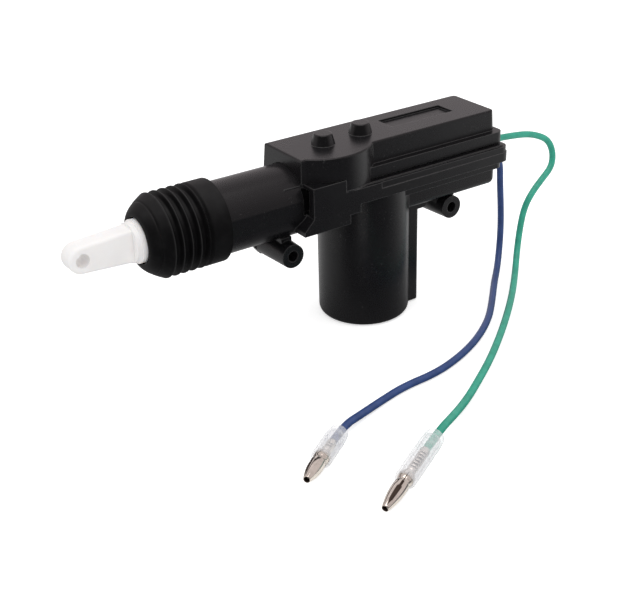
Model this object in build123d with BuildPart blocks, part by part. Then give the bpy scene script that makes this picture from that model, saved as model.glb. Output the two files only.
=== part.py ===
"""Two-wire gun-type door latch actuator, built in its own frame in millimetres.

The origin is the centre of the motor cup's flat base. +Z runs up the motor shaft, -X is the way the
plunger comes out, and +Y is the plain back of the case.
"""

from build123d import *
from math import acos, asin, atan2, cos, degrees, pi, radians, sin, sqrt, tan
import os

os.makedirs("parts", exist_ok=True)

# --- Shared fits ------------------------------------------------------------------------------------
running_gap = 0.05       # a shaft in its bearing, on the radius
seat_gap = 0.1           # a piece dropped into its seat
sliding_gap = 0.25       # a sliding piece beside its guide
skin = 1.5               # the moulded wall of case and cover
backlash = 0.07          # taken off each side of a tooth

# --- Motor ------------------------------------------------------------------------------------------
can_radius = 13.7
can_sheet = 0.9
can_height = 35.6
can_boss_radius = 4.2
can_boss_height = 2.3
shaft_radius = 1.15
bearing_radius = 2.6
bearing_length = 2.4
end_cap_thickness = 3.6
magnet_thickness = 2.2
magnet_length = 22.0
magnet_half_angle = 58.0
air_gap = 0.5
core_length = 18.0
core_hub_radius = 3.6
pole_count = 3
pole_neck = 3.4
shoe_thickness = 1.8
shoe_gap = 2.2           # the open slot between two pole shoes
winding_overhang = 3.0
commutator_radius = 3.0
commutator_length = 3.8
commutator_slit = 0.4
brush_length = 2.5
brush_width = 2.4
brush_height = 2.6
leaf_sheet = 0.4
leaf_length = 8.0

# --- Motor cup and wire channel ---------------------------------------------------------------------
cup_wall = 1.2
cup_floor = 1.8
cup_edge = 2.0
motor_seat_height = 1.6
motor_seat_width = 2.4
channel_width = 15.0
channel_depth = 2.5      # how far the channel stands out of the cup
channel_foot = 0.7
channel_edge = 1.4

# --- Case -------------------------------------------------------------------------------------------
case_front_wall = -29.0  # the face that the nose grows out of
motor_to_seam = 11.7     # from the top of the motor can to the seam that the cover sits on
rim_height = 5.1
rim_rear = 49.8
rim_back = 12.5
rim_corner = 3.0
rim_step = 0.25          # the upper part of the rim stands in a little behind the bulge
rim_step_height = 3.1
rim_step_start = -3.5
seam_lip = 0.4
seam_lip_inset = 1.3
waist_height = 2.6
waist_inset = 1.7
waist_rear = 48.4
tub_depth = 6.7          # below the waist
tub_front = 10.5
tub_back = 10.9
tub_rear = 47.8
tub_edge = 2.2
cheek_depth = 5.6        # the full-width part in front of the cup, below the rim
cheek_rear = -15.5
step_depth = 2.6
step_rear = -11.6
chin_front = -32.5       # the cheek reaches on under the nose
chin_height = 1.4
chin_slope = 3.5
shoulder_rise = 3.6
shoulder_length = 12.0
shoulder_depth = 6.5
pocket_width = 3.8
pocket_height = 8.2
pocket_depth = 5.0
pocket_side = 2.6
pocket_skin = 1.2
cavity_depth = 9.7       # the rooms inside, below the seam
tub_floor_depth = 12.1

# --- Nose -------------------------------------------------------------------------------------------
nose_drop = 4.0          # the axis of the nose, below the seam
nose_radius = 11.3
nose_tip = -62.0
nose_flat = 10.95        # half width over the two flats
nose_bore = 9.3
nose_bore_end = -20.5    # the guide for the rod ends inside the case
collar_rear = -54.0
collar_length = 6.6
collar_half_width = 9.1
collar_sink = 0.4        # below the shoulder's top

# --- Cover ------------------------------------------------------------------------------------------
cover_height = 11.0
cover_draft = 3.4        # degrees; the sizes below are at the top face
cover_front_wall = -29.5
cover_front = 9.3
cover_back = 11.0
cover_rear = 47.0
cover_corner = 1.5
cover_edge = 0.6
ledge_gap = 0.5
ledge_height = 3.6
ledge_front = 12.2
ledge_back = 12.0
ledge_rear = 49.0
ledge_start = -12.0
ledge_corner = 2.5
bulge_radius = 17.65
bulge_x = -15.3
stud_radius = 3.84
stud_top_radius = 2.86
stud_height = 3.4
stud_edge = 0.5
stud_shift_x = -0.6      # the studs stand a little off the pins that they cover
stud_shift_y = 0.3
panel_length = 25.1      # the shallow recess in the top face
panel_width = 7.6
panel_x = 23.0
panel_y = 2.0
panel_depth = 0.8
rear_rib_width = 9.0
rear_rib_depth = 1.4

# --- Mounting bosses --------------------------------------------------------------------------------
boss_drop = 14.8         # below the axis of the nose
front_boss_x = -33.9
rear_boss_x = 29.1
boss_radius = 3.84       # at the front face
boss_draft = 2.2         # degrees
boss_bore = 1.8
boss_front = -10.0
boss_back = 7.0
web_thickness = 3.8
web_front = -6.4
gusset_thickness = 2.0
gusset_spread = 9.5
gusset_foot = 2.6
gusset_drop = 3.9
bracket_length = 3.0
bracket_drop = 2.3
bracket_edge = 0.8

# --- Gear train -------------------------------------------------------------------------------------
reduction_module = 0.6
gear_teeth = 34
pinion_teeth = 16
reduction_angle = 22.0
gear_rise = 3.3          # the big wheel above the seam
gear_width = 3.6
gear_offset = -1.0       # the axle stands a little in front of the shaft
motor_pinion_length = 5.0
rack_module = 0.8
rack_pinion_teeth = 11
rack_angle = 25.0
rack_addendum = 0.85     # in modules, shortened to clear the small pinion's roots
rack_pinion_drop = 4.0   # below the axis of the nose
hub_radius = 3.2
hub_rise = 0.8
axle_radius = 1.5
axle_boss_radius = 3.0
washer_radius = 3.0
washer_thickness = 0.4

# --- Plunger ----------------------------------------------------------------------------------------
stroke = 20.0
rod_radius = 6.6
rod_rear = -22.0
flange_radius = 8.8
flange_thickness = 2.0
flange_front = -32.0
rack_bar_drop = 3.7      # below the axis of the nose
rack_bar_height = 7.4
rack_bar_depth = 3.5
rack_bar_rear = 12.0
head_front = -83.4
tongue_thickness = 6.5
tongue_root_half = 5.4
tongue_tip_radius = 4.2
tongue_tip = -99.0       # the centre of the rounded tip
eye_radius = 2.1

# --- Rubber -----------------------------------------------------------------------------------------
bumper_thickness = 1.5
bellows_mouth = -80.8
bellows_cuff_end = -55.8
bellows_crest = 13.0
bellows_cuff = 12.85
bellows_wall = 1.2
first_crest = -74.9
rib_pitch = 2.8
rib_depth = 1.7
rib_count = 5
mouth_lip = 0.9

# --- Wires ------------------------------------------------------------------------------------------
wire_radius = 1.0
blue_exit_drop = 8.5     # below the seam
green_exit_drop = 3.9
gland_width = 5.6
gland_height = 10.2
gland_lip = 0.8
gland_lip_depth = 0.6
lead_x = 14.9
lead_spread = 3.0
sleeve_radius = 2.9
sleeve_bore = 1.95
sleeve_length = 18.8
bullet_length = 24.3
crimp_length = 5.5
bullet_radius = 1.93
crimp_radius = 1.6
bullet_nose_radius = 1.0

# --- Worked out from the above ----------------------------------------------------------------------
cup_bore = can_radius + seat_gap
cup_radius = cup_bore + cup_wall
case_front = cup_radius                       # the rim's front face is tangent to the cup
can_bottom = cup_floor + motor_seat_height
can_top = can_bottom + can_height
can_bore = can_radius - can_sheet
seam_height = can_top + motor_to_seam
rim_top = seam_height - seam_lip
rim_bottom = rim_top - rim_height
waist_bottom = rim_bottom - waist_height
tub_bottom = waist_bottom - tub_depth
cheek_bottom = rim_bottom - cheek_depth
step_bottom = rim_bottom - step_depth
cavity_floor = seam_height - cavity_depth
tub_floor = seam_height - tub_floor_depth
shoulder_top = seam_height + shoulder_rise
nose_axis = seam_height - nose_drop
boss_height = nose_axis - boss_drop
cover_top = seam_height + cover_height
cover_spread = cover_height * tan(radians(cover_draft))
ledge_bottom = seam_height + ledge_gap
ledge_top = ledge_bottom + ledge_height
flange_rear = flange_front + flange_thickness
channel_face = cup_radius + channel_depth
bulge_y = bulge_radius + cover_spread - case_front
centre_distance = reduction_module * (gear_teeth + pinion_teeth) / 2
gear_x = -sqrt(centre_distance**2 - gear_offset**2)
gear_tip = reduction_module * (gear_teeth / 2 + 1)
rack_pitch_radius = rack_module * rack_pinion_teeth / 2
rack_line = gear_offset + rack_pitch_radius
rack_root = rack_line + 1.25 * rack_module
rack_back = rack_root + rack_bar_depth
rack_bar_bottom = nose_axis - rack_bar_drop
rack_pinion_bottom = nose_axis - rack_pinion_drop
gear_bottom = seam_height + gear_rise
gear_top = gear_bottom + gear_width
hub_top = gear_top + hub_rise
shaft_top = cover_top + 0.5
blue_exit = seam_height - blue_exit_drop
green_exit = seam_height - green_exit_drop
gland_rear = rim_rear + gland_lip_depth
room_rear = tub_rear - skin - 0.7
wire_middle = (blue_exit + green_exit) / 2


def block(x0, x1, y0, y1, z0, z1, mode=Mode.ADD):
    """A box given by its six faces, in the current part."""
    with Locations(((x0 + x1) / 2, (y0 + y1) / 2, (z0 + z1) / 2)):
        Box(x1 - x0, y1 - y0, z1 - z0, mode=mode)


def post(x, y, z0, z1, radius, mode=Mode.ADD):
    """An upright cylinder from z0 to z1, in the current part."""
    with Locations((x, y, (z0 + z1) / 2)):
        Cylinder(radius, z1 - z0, mode=mode)


def plate(x0, x1, y0, y1, rear_corners, front_corners=0):
    """A rectangle in the current sketch, with its rear and its front corners rounded by themselves."""
    with Locations(((x0 + x1) / 2, (y0 + y1) / 2)):
        sheet = Rectangle(x1 - x0, y1 - y0)
    corners = sheet.vertices().sort_by(Axis.X)
    if rear_corners:
        fillet(corners[-2:], rear_corners)
    if front_corners:
        fillet(corners[:2], front_corners)


def save(piece, name):
    """Labels a finished sub-part and writes its STEP file."""
    piece.part.label = name
    export_step(piece.part, f"parts/{name}.step")


def involute_flank(module, teeth, pressure_angle, addendum=1.0, dedendum=1.25):
    """Half a tooth as (radius, half angle) pairs from root to tip: radial below the base circle, then
    the involute, whose half angle is the pitch half angle plus inv(pressure) minus inv(local)."""
    pitch = module * teeth / 2
    base = pitch * cos(radians(pressure_angle))
    root = pitch - dedendum * module
    tip = pitch + addendum * module
    inv = lambda angle: tan(angle) - angle
    half = pi / (2 * teeth) - backlash / pitch + inv(radians(pressure_angle))
    start = max(root, base)
    radii = [start + (tip - start) * step / 3 for step in range(4)]
    flank = [(radius, half - inv(acos(min(1.0, base / radius)))) for radius in radii]
    return ([(root, flank[0][1])] if root < start else []) + flank


def gear_face(module, teeth, pressure_angle, turn, centre=(0, 0)):
    """A spur gear's outline in the current sketch, one tooth pointing along turn (degrees)."""
    flank = involute_flank(module, teeth, pressure_angle)
    sunk = module * teeth / 2 - 1.5 * module
    left = [(radius * cos(angle), radius * sin(angle)) for radius, angle in flank]
    right = [(x, -y) for x, y in reversed(left)]
    foot = [(sunk, left[0][1]), *left, *right, (sunk, -left[0][1])]
    with Locations(centre):
        Circle(module * teeth / 2 - 1.25 * module)
        with PolarLocations(0, teeth, start_angle=turn):
            Polygon(*foot, align=None)


def frame_at(point, direction):
    """A plane whose X axis is the given direction, for a profile turned about that axis."""
    level = Vector(0, 0, 1).cross(Vector(*direction)).normalized()
    return Plane(origin=point, x_dir=direction, z_dir=level)


# --- Housing body -----------------------------------------------------------------------------------
with BuildPart() as housing_body:
    # Nose tube: round, with two flats whose upper edges show as a line along each side.
    with BuildSketch(Plane.YZ.offset(nose_tip)):
        with Locations((0, nose_axis)):
            Circle(nose_radius)
            Rectangle(2 * nose_flat, 2 * nose_radius, mode=Mode.INTERSECT)
    extrude(amount=step_rear - nose_tip)
    block(case_front_wall + skin, step_rear + 1, -nose_radius - 1, nose_radius + 1,
          seam_height, nose_axis + nose_radius + 1, mode=Mode.SUBTRACT)
    with BuildSketch(Plane.YZ.offset(case_front_wall - collar_length)):
        with Locations((0, (nose_axis + shoulder_top - collar_sink) / 2)):
            Rectangle(2 * collar_half_width, shoulder_top - collar_sink - nose_axis)
    extrude(amount=collar_length + skin)
    # Case: rim, waist and tub, each stepped in from the one above.
    with BuildSketch(Plane.XY.offset(rim_bottom)):
        plate(case_front_wall, rim_rear, -case_front, rim_back, rim_corner)
    extrude(amount=rim_step_height)
    with BuildSketch(Plane.XY.offset(rim_bottom + rim_step_height)):
        plate(case_front_wall, rim_rear - rim_step, -case_front + rim_step, rim_back, rim_corner)
        with Locations(((case_front_wall + rim_step_start) / 2, -case_front / 2)):
            Rectangle(rim_step_start - case_front_wall, case_front)
    extrude(amount=rim_height - rim_step_height)
    with BuildSketch(Plane.XY.offset(rim_top)):
        plate(case_front_wall, rim_rear - seam_lip_inset, -case_front + seam_lip_inset,
              rim_back - seam_lip_inset, rim_corner - seam_lip_inset)
        with Locations((bulge_x, bulge_y)):
            Circle(bulge_radius + cover_spread)
        with Locations(((case_front_wall + rim_rear) / 2, (rim_back - case_front) / 2)):
            Rectangle(rim_rear - case_front_wall, rim_back + case_front, mode=Mode.INTERSECT)
    extrude(amount=seam_lip)
    with BuildSketch(Plane.XY.offset(waist_bottom)):
        plate(0, waist_rear, -case_front + waist_inset, rim_back - waist_inset,
              rim_corner - 0.3)
    extrude(amount=waist_height)
    with BuildSketch(Plane.XY.offset(tub_bottom)):
        plate(0, tub_rear, -tub_front, tub_back, tub_edge)
    extrude(amount=waist_bottom - tub_bottom)
    tub_foot = housing_body.faces().filter_by(Plane.XY).sort_by(Axis.Z)[0].edges()
    fillet(tub_foot.filter_by(Axis.Y).sort_by(Axis.X)[-1:], tub_edge)
    # The cheeks in front of the cup step up towards the rear.
    block(case_front_wall, cheek_rear, -case_front, rim_back, cheek_bottom, rim_bottom)
    block(cheek_rear, step_rear, -case_front, rim_back, step_bottom, rim_bottom)
    with BuildSketch(Plane.XZ.offset(-rim_back)):
        Polygon((case_front_wall, cheek_bottom), (chin_front, cheek_bottom),
                (chin_front, cheek_bottom + chin_height),
                (case_front_wall, cheek_bottom + chin_height + chin_slope), align=None)
    extrude(amount=rim_back + case_front)
    # Shoulder beside the gear bulge.
    block(case_front_wall, case_front_wall + shoulder_length, -case_front, -case_front + shoulder_depth,
          rim_top, shoulder_top)
    # Motor cup and the wire channel down its rear side.
    with BuildSketch(Plane.XY):
        Circle(cup_radius)
    extrude(amount=rim_bottom)
    fillet(housing_body.faces().sort_by(Axis.Z)[0].edges(), cup_edge)
    with BuildSketch(Plane.XY.offset(channel_foot)):
        plate(0, channel_face, -channel_width / 2, channel_width / 2, channel_edge)
    extrude(amount=waist_bottom - channel_foot)
    bracket_rear = channel_face + bracket_length
    bracket_bottom = tub_bottom - bracket_drop
    with BuildSketch(Plane.XZ):
        Polygon((0, bracket_bottom), (bracket_rear - bracket_edge, bracket_bottom),
                (bracket_rear, bracket_bottom + bracket_edge), (bracket_rear, waist_bottom),
                (0, waist_bottom), align=None)
    extrude(amount=channel_width / 2, both=True)
    # Mounting bosses, their webs and the gussets behind them.
    for boss_x in (front_boss_x, rear_boss_x):
        with BuildSketch(Plane.XZ.offset(-boss_back)):
            with Locations((boss_x, boss_height)):
                Circle(boss_radius + (boss_back - boss_front) * tan(radians(boss_draft)))
        extrude(amount=boss_back - boss_front, taper=boss_draft)
    block(front_boss_x - web_thickness / 2, front_boss_x + web_thickness / 2, web_front, boss_back,
          boss_height, nose_axis - nose_radius + skin)
    block(rear_boss_x - boss_radius, rear_boss_x + boss_radius, web_front, boss_back,
          boss_height, tub_bottom + skin)
    with BuildSketch(Plane.XZ.offset(-boss_back)):
        for boss_x, top in ((front_boss_x, nose_axis - nose_radius + skin),
                            (rear_boss_x, tub_bottom + skin)):
            Polygon((boss_x - gusset_spread, top), (boss_x - gusset_foot, boss_height - gusset_drop),
                    (boss_x + gusset_foot, boss_height - gusset_drop), (boss_x + gusset_spread, top),
                    align=None)
    extrude(amount=gusset_thickness)
    # Inside: the bore for the plunger, the gear room, the rear room and the motor cup.
    with BuildSketch(Plane.YZ.offset(nose_tip)):
        with Locations((0, nose_axis)):
            Circle(rod_radius + sliding_gap)
    extrude(amount=nose_bore_end - nose_tip, mode=Mode.SUBTRACT)
    with BuildSketch(Plane.YZ.offset(collar_rear)):
        with Locations((0, nose_axis)):
            Circle(nose_bore)
    extrude(amount=flange_rear + 2 * seat_gap - collar_rear, mode=Mode.SUBTRACT)
    block(flange_rear, nose_bore_end, 0, rack_back + sliding_gap, rack_bar_bottom - sliding_gap,
          rack_bar_bottom + rack_bar_height + sliding_gap, mode=Mode.SUBTRACT)
    room_back = tub_back - skin
    room_front = case_front_wall + pocket_depth + skin
    block(room_front, room_rear, -case_front + waist_inset + skin, room_back,
          waist_bottom + skin, shoulder_top + 1, mode=Mode.SUBTRACT)
    block(room_front, room_rear, -tub_front + skin, room_back,
          cavity_floor, rim_top, mode=Mode.SUBTRACT)
    post(gear_x, gear_offset, gear_bottom - 2 * sliding_gap, shoulder_top + 1, gear_tip + sliding_gap + 0.2,
         mode=Mode.SUBTRACT)
    block(case_front_wall + skin, room_front, -rod_radius - 2 * sliding_gap, room_back,
          cavity_floor, shoulder_top + 1, mode=Mode.SUBTRACT)
    block(0, room_rear, -tub_front + skin, room_back, tub_floor, cavity_floor + 1,
          mode=Mode.SUBTRACT)
    post(0, 0, cup_floor, cavity_floor + 1, cup_bore, mode=Mode.SUBTRACT)
    block(0, channel_face - cup_wall, -channel_width / 2 + cup_wall, channel_width / 2 - cup_wall,
          cup_floor, cavity_floor + 1, mode=Mode.SUBTRACT)
    # Seat ring for the motor, open towards the wire channel.
    with BuildSketch(Plane.XY.offset(cup_floor - 0.2)):
        Circle(cup_bore + 0.2)
        Circle(cup_bore - motor_seat_width, mode=Mode.SUBTRACT)
        with Locations((channel_face / 2 + 2, 0)):
            Rectangle(channel_face, channel_width, mode=Mode.SUBTRACT)
    extrude(amount=motor_seat_height + 0.2)
    # Axle boss, rack shelf and the wall behind the rear bumper.
    axle_boss_top = rack_pinion_bottom - washer_thickness - 2 * seat_gap
    post(gear_x, gear_offset, can_top + 0.5, axle_boss_top, axle_boss_radius)
    block(nose_bore_end + 0.3, rack_bar_rear + stroke, rack_back - 1.8, room_back,
          cavity_floor - 0.6, rack_bar_bottom - sliding_gap)
    stop_wall = rack_bar_rear + seat_gap + bumper_thickness + seat_gap
    block(stop_wall, stop_wall + skin, rack_root + 0.4, room_back, tub_floor, rim_top)
    post(gear_x, gear_offset, can_top + 1.0, seam_height, axle_radius, mode=Mode.SUBTRACT)
    # Gland pad on the rear wall, with its square hole.
    block(room_rear, rim_rear, -gland_width / 2 - 0.4, gland_width / 2 + 0.4,
          wire_middle - gland_height / 2 - gland_lip / 2, rim_top)
    block(room_rear - 1, rim_rear + 1, -gland_width / 2 + gland_lip, gland_width / 2 - gland_lip,
          wire_middle - gland_height / 2 + gland_lip, wire_middle + gland_height / 2 - gland_lip,
          mode=Mode.SUBTRACT)
    # Pocket in the shoulder's front face, and the holes through the bosses.
    pocket_front = -case_front + pocket_side
    block(case_front_wall - 1, case_front_wall + pocket_depth, pocket_front,
          pocket_front + pocket_width, shoulder_top - pocket_skin - pocket_height,
          shoulder_top - pocket_skin, mode=Mode.SUBTRACT)
    for boss_x in (front_boss_x, rear_boss_x):
        with Locations(Location((boss_x, (boss_front + boss_back) / 2, boss_height), (90, 0, 0))):
            Cylinder(boss_bore, 2 * (boss_back - boss_front), mode=Mode.SUBTRACT)
save(housing_body, "housing_body")

# --- Housing cover ----------------------------------------------------------------------------------
with BuildPart() as housing_cover:
    with BuildSketch(Plane.XY.offset(seam_height)):
        plate(cover_front_wall - cover_spread, cover_rear + cover_spread, -cover_front - cover_spread,
              cover_back + cover_spread, cover_corner + cover_spread, cover_corner + cover_spread)
        with BuildSketch(mode=Mode.PRIVATE) as bulge:
            with Locations((bulge_x, bulge_y)):
                Circle(bulge_radius + cover_spread)
            with Locations((bulge_x, -cover_front - cover_spread - bulge_radius / 2 + 0.2)):
                Rectangle(3 * bulge_radius, bulge_radius, mode=Mode.INTERSECT)
        add(bulge.sketch)
    extrude(amount=cover_height, taper=cover_draft)
    fillet(housing_cover.faces().sort_by(Axis.Z)[-1].edges(), cover_edge)
    with BuildSketch(Plane.XY.offset(ledge_bottom)):
        plate(ledge_start, ledge_rear, -ledge_front, ledge_back, ledge_corner)
    extrude(amount=ledge_top - ledge_bottom)
    with BuildSketch(Plane.XY.offset(seam_height)):
        plate(ledge_start, ledge_rear - 0.6, -ledge_front + 0.6, ledge_back - 0.3, ledge_corner - 0.6)
    extrude(amount=ledge_bottom - seam_height)
    # Studs over the gear axle and the motor shaft.
    for stud_x, stud_y in ((gear_x, gear_offset), (0, 0)):
        with Locations((stud_x + stud_shift_x, stud_y + stud_shift_y, cover_top + stud_height / 2)):
            Cone(stud_radius, stud_top_radius, stud_height)
    fillet(housing_cover.faces().sort_by(Axis.Z)[-2:].edges(), stud_edge)
    # Rounded rib down the rear wall.
    with BuildSketch(Plane.XY.offset(ledge_top)):
        with Locations((cover_rear, -2.7)):
            Ellipse(rear_rib_depth, rear_rib_width / 2)
    extrude(amount=cover_top - ledge_top - 1.0)
    block(panel_x - panel_length / 2, panel_x + panel_length / 2, panel_y - panel_width / 2,
          panel_y + panel_width / 2, cover_top - panel_depth, cover_top + 1, mode=Mode.SUBTRACT)
    # Inside, with a round room for the big gear.
    with BuildSketch(Plane.XY.offset(seam_height)):
        plate(cover_front_wall + skin, cover_rear - skin, -cover_front + skin, cover_back - skin, 0)
        with Locations((gear_x, gear_offset)):
            Circle(gear_tip + sliding_gap + 0.2)
    extrude(amount=cover_top - 1.8 - seam_height, mode=Mode.SUBTRACT)
    # Arch that fits over the nose tube.
    with BuildSketch(Plane.YZ.offset(cover_front_wall - 1)):
        with Locations((0, nose_axis)):
            Circle(nose_radius + seat_gap)
        with Locations((0, nose_axis)):
            Rectangle(2 * (collar_half_width + seat_gap), 2 * (shoulder_top + seat_gap - nose_axis))
    extrude(amount=1 + skin + 2.0, mode=Mode.SUBTRACT)
    block(cover_front_wall - 1, case_front_wall + shoulder_length + seat_gap, -case_front - 1,
          -case_front + shoulder_depth + seat_gap, seam_height - 1, shoulder_top + seat_gap,
          mode=Mode.SUBTRACT)
    # Bosses that hold the axle and steady the end of the motor shaft.
    post(gear_x, gear_offset, hub_top + washer_thickness + 2 * seat_gap, cover_top, axle_boss_radius)
    post(0, 0, gear_top + 1.4, cover_top, axle_boss_radius)
    post(gear_x, gear_offset, gear_top, cover_top + 1.3, axle_radius, mode=Mode.SUBTRACT)
    post(0, 0, gear_top, shaft_top + 0.3, shaft_radius + running_gap, mode=Mode.SUBTRACT)
save(housing_cover, "housing_cover")

# --- Plunger with its rack --------------------------------------------------------------------------
rack_pitch = pi * rack_module
rack_tooth_depth = rack_addendum * rack_module
rack_slope = tan(radians(rack_angle))
rack_half_top = rack_pitch / 4 - backlash - rack_tooth_depth * rack_slope
rack_half_root = rack_pitch / 4 - backlash + 1.25 * rack_module * rack_slope
rack_teeth_front = int((gear_x - 5.0 - rod_rear) / rack_pitch)
rack_teeth_rear = int((rack_bar_rear - 1.5 - gear_x) / rack_pitch)
with BuildPart() as plunger:
    # Flat tongue with its eye, narrowing to a round tip.
    with BuildSketch(Plane.XZ.offset(-tongue_thickness / 2)) as tongue_outline:
        with BuildLine():
            lean = asin((tongue_root_half - tongue_tip_radius) / (head_front - tongue_tip))
            upper = (tongue_tip - tongue_tip_radius * sin(lean), nose_axis + tongue_tip_radius * cos(lean))
            lower = (tongue_tip - tongue_tip_radius * sin(lean), nose_axis - tongue_tip_radius * cos(lean))
            ThreePointArc(upper, (tongue_tip - tongue_tip_radius, nose_axis), lower)
            Polyline(lower, (head_front + 3.0, nose_axis - tongue_root_half),
                     (head_front + 3.0, nose_axis + tongue_root_half), upper)
        make_face()
    extrude(amount=tongue_thickness)
    fillet(plunger.faces().filter_by(Plane.XZ).edges(), 1.0)
    with Locations(Location((tongue_tip, 0, nose_axis), (90, 0, 0))):
        Cylinder(eye_radius, 3 * tongue_thickness, mode=Mode.SUBTRACT)
    with BuildSketch(Plane.YZ.offset(head_front + 1.6)):
        with Locations((0, nose_axis)):
            Circle(rod_radius)
    extrude(amount=rod_rear - head_front - 1.6)
    # The head: a lip outside the rubber mouth.
    with BuildSketch(Plane.YZ.offset(head_front)):
        with Locations((0, nose_axis)):
            Circle(rod_radius - 0.5)
    extrude(amount=1.7)
    with BuildSketch(Plane.YZ.offset(flange_front)):
        with Locations((0, nose_axis)):
            Circle(flange_radius)
    extrude(amount=flange_thickness)
    # Rack bar beside the gear, with teeth that face the small pinion.
    block(flange_rear, rack_bar_rear, rack_root, rack_back,
          rack_bar_bottom, rack_bar_bottom + rack_bar_height)
    teeth = range(-rack_teeth_front - 1, rack_teeth_rear)
    tooth_at = [gear_x + (count + 0.5) * rack_pitch for count in teeth]
    with BuildSketch(Plane.XY.offset(rack_bar_bottom)):
        for tooth_x in tooth_at:
            Polygon((tooth_x - rack_half_root, rack_root + 0.3), (tooth_x - rack_half_root, rack_root),
                    (tooth_x - rack_half_top, rack_line - rack_tooth_depth),
                    (tooth_x + rack_half_top, rack_line - rack_tooth_depth),
                    (tooth_x + rack_half_root, rack_root), (tooth_x + rack_half_root, rack_root + 0.3),
                    align=None)
    extrude(amount=rack_bar_height)
save(plunger, "plunger")

# --- Gear train -------------------------------------------------------------------------------------
to_motor = degrees(atan2(-gear_offset, -gear_x))
with BuildPart() as reduction_gear:
    with BuildSketch(Plane.XY.offset(gear_bottom)):
        gear_face(reduction_module, gear_teeth, reduction_angle, to_motor, (gear_x, gear_offset))
    extrude(amount=gear_width)
    with BuildSketch(Plane.XY.offset(rack_pinion_bottom)):
        gear_face(rack_module, rack_pinion_teeth, rack_angle, 90, (gear_x, gear_offset))
    extrude(amount=gear_bottom - rack_pinion_bottom)
    post(gear_x, gear_offset, gear_top, hub_top, hub_radius)
    # The web is dished between rim and hub.
    with BuildSketch(Plane.XY.offset(gear_top)):
        with Locations((gear_x, gear_offset)):
            Circle(gear_tip - 3.0)
            Circle(hub_radius + 1.0, mode=Mode.SUBTRACT)
    extrude(amount=-1.1, mode=Mode.SUBTRACT)
    post(gear_x, gear_offset, rack_pinion_bottom, hub_top, axle_radius + running_gap, mode=Mode.SUBTRACT)
save(reduction_gear, "reduction_gear")

with BuildPart() as gear_axle:
    post(gear_x, gear_offset, can_top + 1.0, cover_top + 1.3, axle_radius)
    chamfer(gear_axle.edges().filter_by(GeomType.CIRCLE), 0.3)
save(gear_axle, "gear_axle")

for washer_name, washer_bottom in (
    ("lower_thrust_washer", rack_pinion_bottom - washer_thickness - seat_gap),
    ("upper_thrust_washer", hub_top + seat_gap),
):
    with BuildPart() as thrust_washer:
        post(gear_x, gear_offset, washer_bottom, washer_bottom + washer_thickness, washer_radius)
        post(gear_x, gear_offset, washer_bottom, washer_bottom + washer_thickness,
             axle_radius + running_gap, mode=Mode.SUBTRACT)
    save(thrust_washer, washer_name)

with BuildPart() as motor_pinion:
    with BuildSketch(Plane.XY.offset(gear_bottom - 0.7)):
        gear_face(reduction_module, pinion_teeth, reduction_angle, to_motor + 180 + 180 / pinion_teeth)
        Circle(shaft_radius, mode=Mode.SUBTRACT)
    extrude(amount=motor_pinion_length)
save(motor_pinion, "motor_pinion")

# --- Motor ------------------------------------------------------------------------------------------
bearing_top = can_top + can_boss_height
with BuildPart() as motor_can:
    post(0, 0, can_bottom, can_top, can_radius)
    fillet(motor_can.faces().sort_by(Axis.Z)[-1].edges(), 1.2)
    post(0, 0, can_top - 0.1, bearing_top, can_boss_radius)
    post(0, 0, can_bottom, can_top - can_sheet, can_bore, mode=Mode.SUBTRACT)
    post(0, 0, bearing_top - bearing_length, bearing_top, bearing_radius, mode=Mode.SUBTRACT)
    post(0, 0, can_bottom, bearing_top, shaft_radius + 0.6, mode=Mode.SUBTRACT)
save(motor_can, "motor_can")

cap_top = can_bottom + end_cap_thickness
with BuildPart() as motor_end_cap:
    post(0, 0, can_bottom, cap_top, can_bore - running_gap)
    post(0, 0, cap_top - bearing_length, cap_top, bearing_radius, mode=Mode.SUBTRACT)
    post(0, 0, can_bottom, cap_top, shaft_radius + 0.6, mode=Mode.SUBTRACT)
    for side in (-1, 1):
        leaf_y = side * (commutator_radius + seat_gap + brush_length + leaf_sheet / 2)
        block(leaf_length - 2.0 - running_gap, leaf_length - 0.5 + running_gap,
              leaf_y - leaf_sheet / 2 - running_gap, leaf_y + leaf_sheet / 2 + running_gap,
              can_bottom, cap_top, mode=Mode.SUBTRACT)
save(motor_end_cap, "motor_end_cap")

for bearing_name, bearing_floor in (("upper_bearing", bearing_top - bearing_length),
                                    ("lower_bearing", cap_top - bearing_length)):
    with BuildPart() as bearing:
        post(0, 0, bearing_floor, bearing_floor + bearing_length, bearing_radius)
        post(0, 0, bearing_floor, bearing_floor + bearing_length, shaft_radius + running_gap,
             mode=Mode.SUBTRACT)
    save(bearing, bearing_name)

core_centre = (cap_top + can_top) / 2 + 1.5
core_radius = can_bore - magnet_thickness - air_gap
for magnet_name, facing in (("front_magnet", -90), ("back_magnet", 90)):
    with BuildPart() as magnet:
        with BuildSketch(Plane.XY.offset(core_centre - magnet_length / 2)):
            with BuildLine():
                ends = [radians(facing + side * magnet_half_angle) for side in (-1, 1)]
                middle = radians(facing)
                at = lambda radius, angle: (radius * cos(angle), radius * sin(angle))
                outer, inner = can_bore - running_gap, can_bore - magnet_thickness
                ThreePointArc(at(outer, ends[0]), at(outer, middle), at(outer, ends[1]))
                Line(at(outer, ends[1]), at(inner, ends[1]))
                ThreePointArc(at(inner, ends[1]), at(inner, middle), at(inner, ends[0]))
                Line(at(inner, ends[0]), at(outer, ends[0]))
            make_face()
        extrude(amount=magnet_length)
    save(magnet, magnet_name)

with BuildPart() as motor_shaft:
    post(0, 0, can_bottom + 0.4, shaft_top, shaft_radius)
save(motor_shaft, "motor_shaft")

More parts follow.
